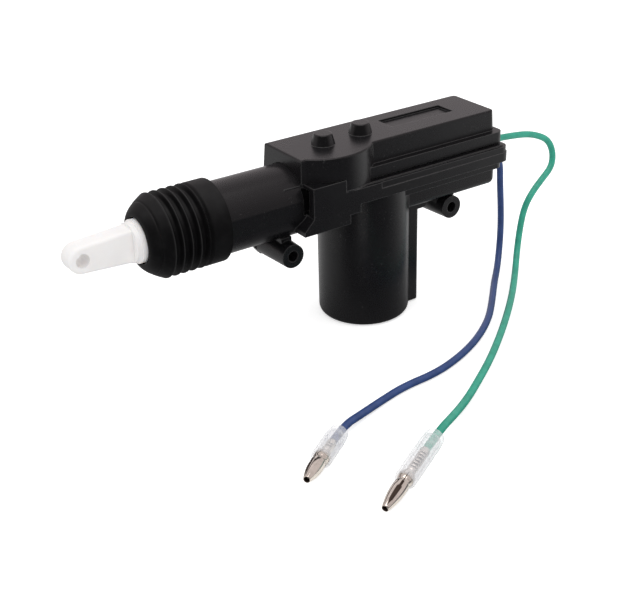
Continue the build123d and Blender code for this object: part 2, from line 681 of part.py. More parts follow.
with BuildPart() as armature_core:
    with BuildSketch(Plane.XY.offset(core_centre - core_length / 2)):
        Circle(core_radius)
        Circle(core_radius - shoe_thickness, mode=Mode.SUBTRACT)
        with PolarLocations(core_radius, pole_count, start_angle=180 / pole_count):
            Rectangle(4 * shoe_thickness, shoe_gap, mode=Mode.SUBTRACT)
        Circle(core_hub_radius)
        with PolarLocations((core_radius - shoe_thickness / 2) / 2, pole_count):
            Rectangle(core_radius - shoe_thickness / 2, pole_neck)
        Circle(shaft_radius, mode=Mode.SUBTRACT)
    extrude(amount=core_length)
save(armature_core, "armature_core")

with BuildPart() as armature_windings:
    for coil_z in (core_centre - core_length / 2 - winding_overhang, core_centre + core_length / 2 + 0.05):
        with BuildSketch(Plane.XY.offset(coil_z)):
            Circle(core_radius - shoe_thickness - 0.3)
            Circle(core_hub_radius + 0.2, mode=Mode.SUBTRACT)
        extrude(amount=winding_overhang - 0.05)
    with BuildSketch(Plane.XY.offset(core_centre - core_length / 2 - 1.0)):
        Circle(core_radius - shoe_thickness - 0.3)
        Circle(core_hub_radius + 0.2, mode=Mode.SUBTRACT)
        with PolarLocations(core_radius / 2, pole_count):
            Rectangle(core_radius + 2, pole_neck + 0.3, mode=Mode.SUBTRACT)
    extrude(amount=core_length + 2.0)
save(armature_windings, "armature_windings")

commutator_bottom = cap_top + 0.5
with BuildPart() as commutator:
    with BuildSketch(Plane.XY.offset(commutator_bottom)):
        Circle(commutator_radius)
        with PolarLocations(commutator_radius, pole_count, start_angle=180 / pole_count):
            Rectangle(1.0, commutator_slit, mode=Mode.SUBTRACT)
        Circle(shaft_radius, mode=Mode.SUBTRACT)
    extrude(amount=commutator_length)
save(commutator, "commutator")

brush_bottom = commutator_bottom + (commutator_length - brush_height) / 2
for brush_name, side in (("front_brush", -1), ("back_brush", 1)):
    with BuildPart() as brush:
        inner = side * (commutator_radius + seat_gap)
        outer = inner + side * brush_length
        block(-brush_width / 2, brush_width / 2, min(inner, outer), max(inner, outer),
              brush_bottom, brush_bottom + brush_height)
    save(brush, brush_name)

tab_bottom = can_bottom - 1.1
for terminal_name, side in (("front_terminal", -1), ("back_terminal", 1)):
    with BuildPart() as terminal:
        inner = side * (commutator_radius + seat_gap + brush_length)
        outer = inner + side * leaf_sheet
        low, high = min(inner, outer), max(inner, outer)
        block(-brush_width / 2, leaf_length - 0.5, low, high, cap_top + 0.05, brush_bottom + brush_height)
        block(leaf_length - 2.0, leaf_length - 0.5, low, high, tab_bottom, cap_top + 0.1)
        near = side * (lead_spread - 1.2)
        block(leaf_length - 2.0, lead_x + 1.0, min(near, outer), max(near, outer),
              tab_bottom, tab_bottom + 0.6)
    save(terminal, terminal_name)

# --- Rubber pieces ----------------------------------------------------------------------------------
with BuildPart() as front_bumper:
    with BuildSketch(Plane.YZ.offset(collar_rear)):
        with Locations((0, nose_axis)):
            Circle(nose_bore - running_gap)
            Circle(rod_radius + sliding_gap, mode=Mode.SUBTRACT)
    extrude(amount=bumper_thickness)
save(front_bumper, "front_bumper")

with BuildPart() as rear_bumper:
    block(rack_bar_rear + seat_gap, rack_bar_rear + seat_gap + bumper_thickness, rack_root + 0.4,
          rack_back, rack_bar_bottom, rack_bar_bottom + rack_bar_height - 0.6)
save(rear_bumper, "rear_bumper")

with BuildPart() as bellows:
    mouth_inner = rod_radius + sliding_gap
    cuff_inner = nose_radius + seat_gap
    crests = [first_crest + count * rib_pitch for count in range(rib_count)]
    outer = [(bellows_mouth, mouth_inner + mouth_lip), (bellows_mouth + 1.5, mouth_inner + 2.9),
             (bellows_mouth + 3.3, bellows_crest - 1.5)]
    for crest in crests:
        outer += [(crest - 0.3, bellows_crest), (crest + 0.3, bellows_crest),
                  (crest + rib_pitch / 2, bellows_crest - rib_depth)]
    outer += [(crests[-1] + rib_pitch * 0.75, bellows_cuff), (bellows_cuff_end, bellows_cuff)]
    inner = [(bellows_cuff_end, cuff_inner), (nose_tip - 0.2, cuff_inner)]
    inner += [(nose_tip - 0.2, bellows_crest - rib_depth - bellows_wall)]
    inner += [(bellows_mouth + 3.6, bellows_crest - 1.5 - bellows_wall),
              (bellows_mouth + 1.2, mouth_inner)]
    with BuildSketch(Plane.XZ):
        with BuildLine():
            Polyline(*[(x, nose_axis + radius) for x, radius in outer + inner],
                     (bellows_mouth, nose_axis + mouth_inner), close=True)
        make_face()
    revolve(axis=Axis((0, 0, nose_axis), (1, 0, 0)))
save(bellows, "bellows")

# --- Gland and wires --------------------------------------------------------------------------------
with BuildPart() as wire_gland:
    block(room_rear, rim_rear, -gland_width / 2 + gland_lip + 0.05, gland_width / 2 - gland_lip - 0.05,
          wire_middle - gland_height / 2 + gland_lip + 0.05,
          wire_middle + gland_height / 2 - gland_lip - 0.05)
    block(rim_rear, gland_rear, -gland_width / 2, gland_width / 2,
          wire_middle - gland_height / 2, wire_middle + gland_height / 2)
    block(room_rear - gland_lip_depth, room_rear, -gland_width / 2, gland_width / 2,
          wire_middle - gland_height / 2, wire_middle + gland_height / 2)
    for exit_height in (blue_exit, green_exit):
        with Locations(Location((rim_rear, 0, exit_height), (0, 90, 0))):
            Cylinder(wire_radius + running_gap, 30, mode=Mode.SUBTRACT)
save(wire_gland, "wire_gland")


def rounded_path(points, share=0.45):
    """The route as straight runs joined by tangent arcs, each as large as its two runs allow."""
    steps = [Vector(*b) - Vector(*a) for a, b in zip(points, points[1:])]
    radii = []
    for before, after in zip(steps, steps[1:]):
        turn = radians(before.get_angle(after))
        radii.append(share * min(before.length, after.length) / tan(turn / 2))
    return radii


def make_wire(points, name, radius):
    """A round wire swept along its rounded route, with its radii and volume printed."""
    radii = rounded_path(points)
    with BuildPart() as wire:
        with BuildLine() as route:
            FilletPolyline(*points, radius=radii)
        path = route.wires()[0]
        with BuildSketch(Plane(origin=path @ 0, z_dir=path % 0)):
            Circle(radius)
        sweep(path=path)
    save(wire, name)
    ideal = pi * radius**2 * path.length
    print(name, "length", round(path.length, 1), "radii", [round(r, 1) for r in radii],
          "volume share", round(wire.part.volume / ideal, 4))


# Leads inside the case, from the motor's tabs up the channel to the gland.
for lead_name, side, exit_height in (("blue_lead", -1, blue_exit), ("green_lead", 1, green_exit)):
    lead_y = side * lead_spread
    make_wire([(lead_x, lead_y, tab_bottom + 0.65), (lead_x, lead_y, 14.0), (lead_x + 0.1, lead_y, 27.0),
               (lead_x, lead_y, tub_floor + 1.4), (lead_x + 1.9, lead_y, tub_floor + 4.7),
               (lead_x + 5.2, lead_y, tub_floor + 6.6), (lead_x + 11.6, lead_y, tub_floor + 6.9),
               (lead_x + 20.0, 0.3 * lead_y, exit_height + 0.2), (gland_rear - 7.4, 0, exit_height),
               (gland_rear, 0, exit_height)], lead_name, wire_radius)

# The free wires: out of the gland, down to the surface and along it towards the front.
blue_base = (-52.2, -60.5, 2.95)
blue_aim = (-0.8233, -0.5667, 0.0318)
green_base = (-35.8, -82.9, 6.5)
green_aim = (-0.8920, -0.4319, -0.1332)


def along(point, direction, distance):
    """The point that lies a distance from another along a direction."""
    return tuple(p + distance * d for p, d in zip(point, direction))


wire_inside = 6.2        # how far each wire reaches into its sleeve
blue_route = [
    (gland_rear, 0, blue_exit), (54.2, 0, blue_exit), (57.5, 0, 40.3), (59.4, 0, 37.0),
    (59.5, -0.3, 30.0), (59.3, -1.5, 21.5), (57.8, -3.6, 14.0), (55.4, -5.9, 7.1), (51.3, -9.7, 2.6),
    (45.3, -15.0, 1.0), (36.7, -23.7, 1.0), (26.3, -33.7, 1.0), (14.6, -41.6, 1.0), (2.8, -47.0, 1.0),
    (-9.7, -50.5, 1.0), (-22.5, -51.7, 1.0), (-35.0, -53.8, 1.2),
    along(blue_base, blue_aim, -3.5), along(blue_base, blue_aim, wire_inside),
]
green_route = [
    (gland_rear, 0, green_exit), (57.0, 0, green_exit), (64.4, 0, 46.2), (71.6, -0.2, 45.3),
    (76.9, -0.6, 43.5), (80.4, -1.2, 41.45), (82.2, -2.0, 38.3), (82.2, -2.9, 34.7),
    (80.4, -3.7, 31.5), (75.4, -4.6, 28.6), (70.5, -5.4, 25.4), (66.4, -6.0, 20.8),
    (63.9, -6.9, 13.5), (60.7, -9.4, 6.5), (56.2, -13.8, 2.2), (49.2, -20.6, 1.0), (41.0, -28.2, 1.0),
    (31.0, -36.8, 1.0), (20.0, -45.6, 1.0), (7.6, -54.8, 1.0), (-5.4, -63.2, 1.0), (-16.6, -69.8, 1.6),
    (-24.4, -75.1, 4.6), along(green_base, green_aim, -3.8), along(green_base, green_aim, wire_inside),
]
make_wire(blue_route, "blue_wire", wire_radius)
make_wire(green_route, "green_wire", wire_radius)

for colour, base, aim in (("blue", blue_base, blue_aim), ("green", green_base, green_aim)):
    side_plane = frame_at(base, aim)
    axis = Axis(base, aim)
    with BuildPart() as sleeve:
        with BuildSketch(side_plane):
            with BuildLine():
                Polyline((0, wire_radius + running_gap), (0, sleeve_radius - 0.35),
                         (0.6, sleeve_radius - 0.1), (sleeve_length - 5.0, sleeve_radius),
                         (sleeve_length, sleeve_radius - 0.1), (sleeve_length, sleeve_bore),
                         (1.6, sleeve_bore), (1.0, wire_radius + running_gap), close=True)
            make_face()
        revolve(axis=axis)
    save(sleeve, f"{colour}_sleeve")
    with BuildPart() as bullet:
        start, end = wire_inside, wire_inside + bullet_length
        with BuildSketch(side_plane):
            with BuildLine():
                neck = start + crimp_length
                Polyline((start, 0), (start, crimp_radius), (neck, crimp_radius),
                         (neck + 0.6, crimp_radius - 0.5), (neck + 1.8, crimp_radius - 0.5),
                         (neck + 2.5, bullet_radius), (end - 7.6, bullet_radius),
                         (end - 7.2, bullet_radius - 0.25), (end - 6.8, bullet_radius))
                Bezier((end - 6.8, bullet_radius), (end - 3.4, bullet_radius - 0.15),
                       (end, bullet_nose_radius))
                Polyline((end, bullet_nose_radius), (end, 0.55), (end - 1.2, 0.45), (end - 1.2, 0),
                         (start, 0))
            make_face()
        revolve(axis=axis)
    save(bullet, f"{colour}_bullet")
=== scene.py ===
"""Door latch actuator: finishes, bellows, wires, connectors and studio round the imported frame."""

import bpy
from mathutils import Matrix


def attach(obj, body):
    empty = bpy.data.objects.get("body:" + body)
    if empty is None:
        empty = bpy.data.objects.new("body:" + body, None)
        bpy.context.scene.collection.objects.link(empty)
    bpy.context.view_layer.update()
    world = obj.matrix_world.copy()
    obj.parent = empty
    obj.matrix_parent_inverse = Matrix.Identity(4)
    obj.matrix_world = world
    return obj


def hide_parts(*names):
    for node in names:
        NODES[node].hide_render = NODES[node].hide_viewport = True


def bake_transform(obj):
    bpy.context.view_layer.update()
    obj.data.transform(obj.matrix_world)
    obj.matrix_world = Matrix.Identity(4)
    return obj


bl_info = {
    "name": "Door Latch Actuator",
    "version": (1, 0, 0),
    "blender": (4, 5, 0),
    "location": "3D View > Sidebar > Actuator",
    "description": "Builds the soft and fine pieces of a door latch actuator and their finishes",
    "category": "Object",
}

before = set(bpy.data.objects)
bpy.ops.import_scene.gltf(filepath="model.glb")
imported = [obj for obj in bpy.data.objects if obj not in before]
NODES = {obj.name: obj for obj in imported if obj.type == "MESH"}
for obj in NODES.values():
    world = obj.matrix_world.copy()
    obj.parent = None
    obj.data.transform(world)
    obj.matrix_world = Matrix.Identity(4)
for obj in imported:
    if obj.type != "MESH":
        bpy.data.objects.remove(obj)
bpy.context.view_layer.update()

import bmesh
import bpy
import numpy as np
from bpy.props import FloatProperty, FloatVectorProperty, PointerProperty
from bpy.types import Operator, Panel, PropertyGroup
from mathutils import Matrix, Vector

MM = 0.001
# Points nearer to each other than this become one.
MERGED = 2e-7
# The bellows lie round the nose's axis: places along it, from the lip to the cuff's end, and radii.
NOSE_HEIGHT = 0.0467
LIP, FIRST_RIB, RIBS_END, CUFF, CUFF_END = -0.0807, -0.0748, -0.0638, -0.0619, -0.0560
LIP_RADIUS, DOME_RADIUS, CUFF_RADIUS, LARGEST_RADIUS = 0.0078, 0.0129, 0.01282, 0.01297
LIP_HOLE, CUFF_BORE, WALL = 0.00690, 0.01142, 0.0012


# --- Meshes -------------------------------------------------------------------------------------

def surface(name, points, closed_along):
    """A grid of points, rows along and columns round, as one mesh with poles and seams merged."""
    rows, columns = points.shape[:2]
    index = np.arange(rows * columns).reshape(rows, columns)
    row = np.arange(rows if closed_along else rows - 1)[:, None]
    column = np.arange(columns)[None, :]
    below, right = (row + 1) % rows, (column + 1) % columns
    faces = np.stack([index[row, column], index[row, right],
                      index[below, right], index[below, column]], axis=-1)
    mesh = bpy.data.meshes.new(name)
    mesh.from_pydata(points.reshape(-1, 3).tolist(), [], faces.reshape(-1, 4).tolist())
    shape = bmesh.new()
    shape.from_mesh(mesh)
    bmesh.ops.remove_doubles(shape, verts=shape.verts, dist=MERGED)
    bmesh.ops.dissolve_degenerate(shape, edges=shape.edges, dist=MERGED)
    bmesh.ops.recalc_face_normals(shape, faces=shape.faces)
    shape.to_mesh(mesh)
    shape.free()
    mesh.polygons.foreach_set("use_smooth", np.ones(len(mesh.polygons), dtype=bool))
    piece = bpy.data.objects.new(name, mesh)
    bpy.context.scene.collection.objects.link(piece)
    return piece


def across(aim):
    """Two unit vectors square to aim and to each other, the first of them level."""
    side = np.cross(aim, (0.0, 0.0, 1.0))
    side /= np.linalg.norm(side)
    return side, np.cross(side, aim)


def turned(name, profile, base, aim, sides, radius_change=None, closed_along=True):
    """A profile of (distance, radius) rows turned about the line from base along aim. radius_change
    gives a factor for each distance and angle, for a rolled or moulded piece's seams and folds."""
    profile = np.asarray(profile, float)
    aim = np.asarray(aim, float) / np.linalg.norm(aim)
    side, up = across(aim)
    angle = np.linspace(0, 2 * np.pi, sides, endpoint=False)[None, :]
    distance, radius = profile[:, :1], profile[:, 1:2]
    if radius_change is not None:
        radius = radius * radius_change(distance, angle)
    radius = np.broadcast_to(radius, (len(profile), sides))
    points = (np.asarray(base, float) + distance[..., None] * aim
              + (radius * np.cos(angle))[..., None] * up
              + (radius * np.sin(angle))[..., None] * side)
    return surface(name, points, closed_along)


def smooth_step(value, low, high):
    """0 below low, 1 above high, and an S-shaped cubic between them."""
    share = np.clip((value - low) / (high - low), 0, 1)
    return share * share * (3 - 2 * share)


# --- Shader values ------------------------------------------------------------------------------

class Graph:
    """The nodes of one material or world."""

    def __init__(self, tree):
        self.tree = tree

    def node(self, kind, settings=None, sockets=None):
        """Adds a node: settings come first, then each socket takes a number, a colour or a link."""
        node = self.tree.nodes.new(kind)
        for key, value in (settings or {}).items():
            setattr(node, key, value)
        for key, item in (sockets or {}).items():
            item = getattr(item, "socket", item)
            if isinstance(item, bpy.types.NodeSocket):
                self.tree.links.new(item, node.inputs[key])
            else:
                node.inputs[key].default_value = item
        return node

    def value(self, kind, output, settings=None, sockets=None):
        """One output of a new node, ready for arithmetic."""
        return Value(self, self.node(kind, settings, sockets).outputs[output])

    def part(self, vector, letter):
        """One coordinate of a vector, by its letter."""
        return self.value("ShaderNodeSeparateXYZ", letter, None, {0: vector})


class Value:
    """A shader value in one graph, combined by ordinary arithmetic: each step is one Math node."""

    def __init__(self, graph, socket):
        self.graph, self.socket = graph, socket

    def step(self, operation, *others):
        inputs = dict(enumerate((self, *others)))
        return self.graph.value("ShaderNodeMath", 0, {"operation": operation}, inputs)

    def __add__(self, other):
        return self.step("ADD", other)

    def __sub__(self, other):
        return self.step("SUBTRACT", other)

    def __rsub__(self, other):
        return self.step("MULTIPLY_ADD", -1.0, other)

    def __mul__(self, other):
        return self.step("MULTIPLY", other)

    __radd__ = __add__
    __rmul__ = __mul__

    def between(self, low, high):
        """0 below low and 1 above high, smooth between them."""
        limits = {"Value": self, "From Min": low, "From Max": high}
        smooth = {"interpolation_type": "SMOOTHSTEP"}
        return self.graph.value("ShaderNodeMapRange", "Result", smooth, limits)

    def colour(self, low, high):
        """A colour that runs from low to high as the value runs from 0 to 1."""
        return self.graph.node("ShaderNodeMix", {"data_type": "RGBA"},
                               {0: self, 6: (*low, 1), 7: (*high, 1)}).outputs[2]


class Finish(Graph):
    """One Principled material, with object-space patterns in millimetres."""

    def __init__(self, name, **constants):
        self.material = bpy.data.materials.new(name)
        self.material.use_nodes = True
        super().__init__(self.material.node_tree)
        self.shader = self.tree.nodes["Principled BSDF"]
        for key, value in constants.items():
            self.shader.inputs[key.replace("_", " ")].default_value = value
        self.place = self.node("ShaderNodeTexCoord").outputs["Object"]

    def noise(self, size, detail, stretch=(1, 1, 1)):
        """Noise with blobs about size millimetres across, drawn out along each axis by stretch."""
        scale = tuple(1 / (size * MM * longer) for longer in stretch)
        place = self.node("ShaderNodeMapping", None, {"Vector": self.place, "Scale": scale})
        return self.value("ShaderNodeTexNoise", "Fac", None, {
            "Vector": place.outputs["Vector"], "Scale": 1.0, "Detail": detail})

    def axis(self, letter):
        """The object coordinate along one axis, in millimetres."""
        return self.part(self.place, letter) * (1 / MM)

    def normal(self):
        """The normal of the open face, before any bump."""
        return self.node("ShaderNodeNewGeometry").outputs["Normal"]

    def rounded(self, width):
        """The normal as if edges were rounded by width millimetres."""
        return self.node("ShaderNodeBevel", {"samples": 6}, {"Radius": width * MM}).outputs[0]

    def edges(self, width):
        """1 on sharp edges, 0 on open faces, by how far the normal turns within width in mm."""
        turn = self.value("ShaderNodeVectorMath", "Value", {"operation": "DOT_PRODUCT"},
                          {0: self.rounded(width), 1: self.normal()})
        return turn.between(0.985, 0.90)

    def base(self, socket):
        self.tree.links.new(socket, self.shader.inputs["Base Color"])

    def rough(self, value):
        self.tree.links.new(value.socket, self.shader.inputs["Roughness"])

    def see_through(self, value):
        """Alpha, from 0, clear, to 1, solid."""
        self.tree.links.new(value.socket, self.shader.inputs["Alpha"])

    def relief(self, value, height, edge=0.0):
        """Bump of that height in millimetres, over edges that look rounded by edge millimetres."""
        sockets = {"Strength": 1.0, "Distance": height * MM, "Height": value}
        if edge:
            sockets["Normal"] = self.rounded(edge)
        bump = self.node("ShaderNodeBump", None, sockets)
        self.tree.links.new(bump.outputs["Normal"], self.shader.inputs["Normal"])


def paler(tint, amount):
    return tuple(c + amount for c in tint)


def moulded_case(name, tint, low=0.22, high=0.34):
    """Black moulded plastic: fine spark-eroded grain, faint flow clouds, sparse pale specks in
    patches, and edges painted pale, partly as rubbing and partly as a painted highlight."""
    finish = Finish(name, IOR=1.5, Specular_IOR_Level=0.44)
    grain, cloud, dust = finish.noise(0.22, 2.0), finish.noise(14, 3.0), finish.noise(0.9, 3.0)
    patches = finish.noise(11, 1.0).between(0.48, 0.62)
    specks = finish.noise(0.55, 0.0).between(0.735, 0.77) * patches
    bloom = (cloud * 0.6 + dust * 0.4).between(0.35, 0.75)
    # Edges are painted pale: partly rubbing, partly a painted highlight along each edge.
    marks_and_edge_highlight = bloom * 0.028 + specks * 0.28 + finish.edges(0.34) * 0.8
    finish.base(marks_and_edge_highlight.colour(tint, paler(tint, 0.08)))
    finish.rough((cloud * 0.5 + grain * 0.5) * (high - low) + low)
    finish.relief(grain * 0.8 + dust * 0.2, 0.007, edge=0.38)
    return finish


def rubber(name, tint, crest=None):
    """Matt black rubber: soft grain, bloom in patches, a patchy painted highlight on faces that
    look up, and no sharp highlight. With a crest, the bellows' ribs get a painted highlight
    where they reach that radius, in millimetres."""
    finish = Finish(name, IOR=1.5, Specular_IOR_Level=0.14)
    grain, bloom = finish.noise(0.35, 3.0), finish.noise(5.0, 4.0)
    up = finish.part(finish.normal(), "Z")
    # Faces that look up are painted paler, patchy with the bloom: a painted highlight.
    pale = bloom.between(0.4, 0.7) * 0.08 + up.between(0.35, 0.95) * (bloom * 0.35 + 0.12)
    if crest:
        y, z = finish.axis("Y"), finish.axis("Z") - NOSE_HEIGHT / MM
        on_crest = (y * y + z * z).between((crest - 0.22) ** 2, (crest - 0.03) ** 2)
        ribbed = finish.axis("X").between(RIBS_END / MM, RIBS_END / MM - 0.6)
        # The rib crests are painted pale: a painted highlight along the ridges.
        pale = pale + on_crest * ribbed * 0.5
    finish.base(pale.colour(tint, paler(tint, 0.04)))
    finish.rough(bloom * 0.2 + 0.42)
    finish.relief(grain, 0.02)
    return finish


def nylon(name, tint):
    """Milky white nylon or acetal that lets a little light through."""
    finish = Finish(name, IOR=1.53, Subsurface_Weight=0.35, Subsurface_Scale=0.002,
                    Subsurface_Radius=(1.0, 0.9, 0.8))
    cloud, grain = finish.noise(6.0, 2.0), finish.noise(0.4, 2.0)
    light = tuple(min(1.0, c * 1.05) for c in tint)
    finish.base(cloud.between(0.3, 0.7).colour(tint, light))
    finish.rough(grain * 0.14 + 0.26)
    finish.relief(grain, 0.006, edge=0.2)
    return finish


def vinyl_skin(name, tint):
    """The wires' soft vinyl: even colour with slight clouding and shallow drawing marks."""
    finish = Finish(name, IOR=1.5, Specular_IOR_Level=0.6)
    cloud, marks = finish.noise(3.0, 2.0), finish.noise(0.5, 2.0)
    light = tuple(min(1.0, c * 1.22 + 0.004) for c in tint)
    finish.base(cloud.between(0.3, 0.7).colour(tint, light))
    finish.rough(marks * 0.16 + 0.28)
    finish.relief(marks, 0.01)
    return finish


def clear_vinyl(name):
    """The connectors' thin clear sleeves: a milky film, cloudier in patches."""
    finish = Finish(name, IOR=1.45, Specular_IOR_Level=0.3)
    cloud = finish.noise(1.6, 3.0)
    finish.base(cloud.between(0.3, 0.75).colour((0.90, 0.91, 0.94), (0.97, 0.97, 0.99)))
    finish.rough(cloud * 0.12 + 0.22)
    rim = finish.value("ShaderNodeLayerWeight", "Facing", None, {"Blend": 0.5})
    finish.see_through(cloud.between(0.3, 0.8) * 0.10 + rim.between(0.30, 0.95) * 0.22 + 0.22)
    return finish


def metal(name, tint, low, high, grain_size=0.5, stretch=(1, 1, 1), relief=0.004):
    """Bare or plated metal with fine marks and a roughness that varies in patches."""
    finish = Finish(name, Metallic=1.0)
    marks, patch = finish.noise(grain_size, 3.0, stretch=stretch), finish.noise(2.5, 2.0)
    dull = tuple(c * 0.86 for c in tint)
    finish.base(patch.between(0.3, 0.7).colour(dull, tint))
    finish.rough((marks * 0.5 + patch * 0.5) * (high - low) + low)
    finish.relief(marks, relief, edge=0.1)
    return finish


# --- Settings -----------------------------------------------------------------------------------

class ActuatorSizes(PropertyGroup):
    """Sizes of the pieces that this script makes."""

    crest_radius: FloatProperty(name="Crest radius", description="Outer radius of the ribs",
                                default=0.013, unit="LENGTH")
    groove_depth: FloatProperty(name="Groove depth", description="Depth between two ribs",
                                default=0.0016, unit="LENGTH")
    rib_pitch: FloatProperty(name="Rib pitch", description="Distance from rib to rib",
                             default=0.0028, unit="LENGTH")
    wire_radius: FloatProperty(name="Wire radius", description="Radius over the wires' skin",
                               default=0.00115, unit="LENGTH")
    sleeve_bore: FloatProperty(name="Sleeve bore", description="Inner radius of each clear sleeve",
                               default=0.00232, unit="LENGTH")
    tooth_pitch: FloatProperty(name="Tooth pitch", description="Distance between a crimp's marks",
                               default=0.0012, unit="LENGTH")
    bullet_radius: FloatProperty(name="Bullet radius", description="Radius of each bullet's barrel",
                                 default=0.00214, unit="LENGTH")


class ActuatorColours(PropertyGroup):
    """Colours of the finishes."""

    case: FloatVectorProperty(name="Case", description="Moulded case plastic", subtype="COLOR",
                              size=3, default=(0.0056, 0.0054, 0.0062))
    rubber: FloatVectorProperty(name="Rubber", description="Bellows and bumpers", subtype="COLOR",
                                size=3, default=(0.0038, 0.0037, 0.0041))
    nylon: FloatVectorProperty(name="Nylon", description="Plunger", subtype="COLOR",
                               size=3, default=(0.95, 0.93, 0.92))
    blue: FloatVectorProperty(name="Blue", description="Blue wire's skin", subtype="COLOR",
                              size=3, default=(0.023, 0.057, 0.19))
    green: FloatVectorProperty(name="Green", description="Green wire's skin", subtype="COLOR",
                               size=3, default=(0.028, 0.35, 0.24))


def sizes():
    return bpy.context.scene.actuator_sizes


def colours():
    return bpy.context.scene.actuator_colours


def dress(name, finish):
    """Gives a carried-over node its finish."""
    piece = NODES[name]
    piece.data.materials.clear()
    piece.data.materials.append(finish.material)


def finish_piece(piece, finish, body, slot, *nodes):
    """Puts a finish on a new piece, seats it on its body and hides the nodes that it replaces."""
    piece.data.materials.append(finish.material)
    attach(piece, body)
    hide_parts(*nodes)


# --- Routes, in metres --------------------------------------------------------------------------

BLUE_ROUTE = (
    (0.0504, 0, 0.0422), (0.0542, 0, 0.0422), (0.0575, 0, 0.0403), (0.0594, 0, 0.0370),
    (0.0595, -0.0003, 0.0300), (0.0593, -0.0015, 0.0215), (0.0578, -0.0036, 0.0140),
    (0.0554, -0.0059, 0.0071), (0.0513, -0.0097, 0.0026), (0.0453, -0.0150, 0.0010),
    (0.0367, -0.0237, 0.0010), (0.0263, -0.0337, 0.0010), (0.0146, -0.0416, 0.0010),
    (0.0028, -0.0470, 0.0010), (-0.0097, -0.0505, 0.0010), (-0.0225, -0.0508, 0.0010),
    (-0.0330, -0.0532, 0.0010), (-0.0425, -0.0563, 0.0018),
)
GREEN_ROUTE = (
    (0.0504, 0, 0.0468), (0.0570, 0, 0.0468), (0.0644, 0, 0.0462), (0.0716, -0.0002, 0.0453),
    (0.0769, -0.0006, 0.0435), (0.0804, -0.0012, 0.04145), (0.08204, -0.0020, 0.0383),
    (0.08204, -0.0029, 0.0347), (0.0804, -0.0037, 0.0315), (0.0754, -0.0046, 0.0286),
    (0.0705, -0.0054, 0.0254), (0.0664, -0.0060, 0.0208), (0.0639, -0.0069, 0.0135),
    (0.0607, -0.0094, 0.0065), (0.0562, -0.0138, 0.0022), (0.0492, -0.0206, 0.0010),
    (0.0410, -0.0282, 0.0010), (0.0310, -0.0368, 0.0010), (0.0200, -0.0456, 0.0010),
    (0.0076, -0.0548, 0.0010), (-0.0054, -0.0632, 0.0010), (-0.0129, -0.0679, 0.0014),
    (-0.0220, -0.0738, 0.0034),
)
# Each connector lies along aim from base, and its wire leads into it from a point back behind base.
# Distances from base: where the sleeve starts and ends, where the wire's skin ends and the bullet
# starts, and the bullet's tip. Seam is the angle of the bullet's open seam, and length the wire's.
CONNECTORS = {
    "blue": {"base": (-0.0522, -0.0605, 0.0031), "aim": (-0.8233, -0.5667, 0.0318),
             "back": 0.0016, "sleeve": (0.0024, 0.0162), "wire": 0.0078, "tip": 0.0268,
             "seam": 0.75, "route": BLUE_ROUTE, "length": 0.1743},
    "green": {"base": (-0.0370, -0.0829, 0.0065), "aim": (-0.8920, -0.4319, -0.1332),
              "back": 0.0026, "sleeve": (0.0, 0.0188), "wire": 0.0062, "tip": 0.0304,
              "seam": -0.35, "route": GREEN_ROUTE, "length": 0.2052},
}


# --- Operators ----------------------------------------------------------------------------------

class ACTUATOR_OT_finishes(Operator):
    """Dress every carried-over node in its finish"""

    bl_idname = "actuator.finishes"
    bl_label = "Finishes"

    def execute(self, context):
        case = moulded_case("moulded_case_black", tuple(colours().case))
        dark_rubber = rubber("bumper_rubber", tuple(colours().rubber))
        white = nylon("plunger_nylon", tuple(colours().nylon))
        gear_white = nylon("gear_acetal", (0.78, 0.78, 0.74))
        steel = metal("turned_steel", (0.62, 0.62, 0.63), 0.16, 0.34)
        zinc = metal("zinc_plate", (0.60, 0.61, 0.62), 0.24, 0.46, 1.2)
        bronze = metal("sintered_bronze", (0.46, 0.33, 0.18), 0.45, 0.65, 0.2, relief=0.02)
        laminate = metal("core_laminations", (0.34, 0.34, 0.35), 0.35, 0.5, 0.35, (40, 40, 1), 0.03)
        enamel = metal("enamelled_copper", (0.55, 0.22, 0.09), 0.22, 0.36, 0.3, (8, 8, 1), 0.06)
        copper = metal("bare_copper", (0.78, 0.42, 0.28), 0.2, 0.34)
        brass = metal("spring_brass", (0.80, 0.64, 0.34), 0.2, 0.36)
        carbon = moulded_case("brush_carbon", (0.02, 0.02, 0.022), 0.5, 0.7)
        ferrite = moulded_case("magnet_ferrite", (0.035, 0.034, 0.036), 0.6, 0.8)
        blue = vinyl_skin("lead_blue", tuple(colours().blue))
        green = vinyl_skin("lead_green", tuple(colours().green))
        for name, finish in {
            "housing_body": case, "housing_cover": case, "motor_end_cap": case,
            "wire_gland": dark_rubber, "front_bumper": dark_rubber, "rear_bumper": dark_rubber,
            "plunger": white, "reduction_gear": gear_white, "gear_axle": steel,
            "lower_thrust_washer": steel, "upper_thrust_washer": steel, "motor_shaft": steel,
            "motor_can": zinc, "upper_bearing": bronze, "lower_bearing": bronze,
            "armature_core": laminate, "armature_windings": enamel, "commutator": copper,
            "front_brush": carbon, "back_brush": carbon, "front_magnet": ferrite,
            "back_magnet": ferrite, "front_terminal": brass, "back_terminal": brass,
            "motor_pinion": brass, "blue_lead": blue, "green_lead": green,
        }.items():
            dress(name, finish)
        return {"FINISHED"}


